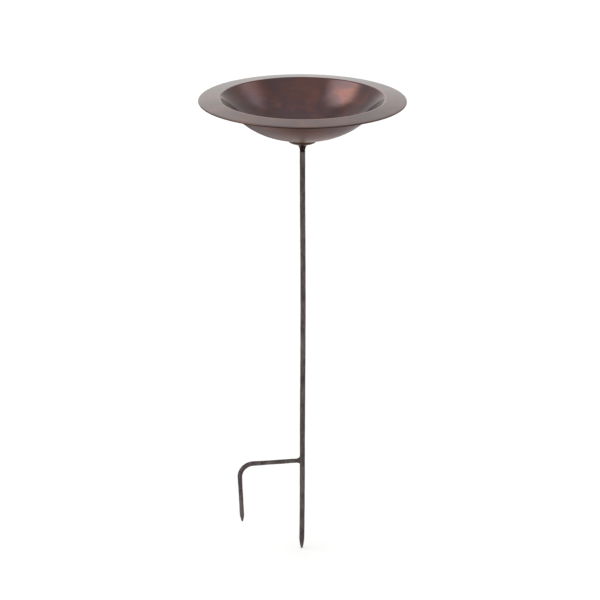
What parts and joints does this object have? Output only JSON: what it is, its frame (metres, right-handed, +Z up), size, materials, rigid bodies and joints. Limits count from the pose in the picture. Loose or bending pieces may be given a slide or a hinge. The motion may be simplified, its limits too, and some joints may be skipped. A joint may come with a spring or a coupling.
{
  "type": "bird feeder dish on stake",
  "caption": "Shallow round metal dish with a wide sloping rim, screwed on top of a slender round pole with a pointed foot and a bent side prong that steadies it in soil.",
  "frame": {"origin": "the point of the long spike, on the pole's axis; the soil that holds the object closes round this spike and the side prong", "axes": "+Z up along the pole's axis, -X towards the side prong, which lies in the XZ plane; the usual front view looks along +Y"},
  "size_m": [0.3556, 0.3556, 0.8633],
  "materials": {
    "copper_plate": "burnished dark copper plate on spun brass sheet, clear lacquer, smooth and reflective",
    "solder": "dull darkened solder",
    "stud_steel": "plain plated thread",
    "bronze_paint": "satin dark bronze powder coat on mild steel rod"
  },
  "bodies": {
    "stake": {"pole": "bronze_paint", "side_prong": "bronze_paint", "weld_bead_upper": "bronze_paint", "weld_bead_lower": "bronze_paint"},
    "stud": {"threaded_stud": "stud_steel"},
    "dish": {"bowl": "copper_plate", "bowl_foot": "copper_plate", "solder_joint": "solder"}
  },
  "joints": [
    {"name": "dish_rise", "type": "slide", "parent": "stake", "child": "stud", "axis": [0, 0, 1], "range_m": [0, 0.014]},
    {"name": "dish_unscrew", "type": "hinge", "parent": "stud", "child": "dish", "pos_m": [0, 0, 0.76795], "axis": [0, 0, 1], "range_deg": [0, 3960]}
  ],
  "couplings": [
    {"joint": "dish_rise", "follows": "dish_unscrew", "m_per_rad": 0.00020213}
  ]
}
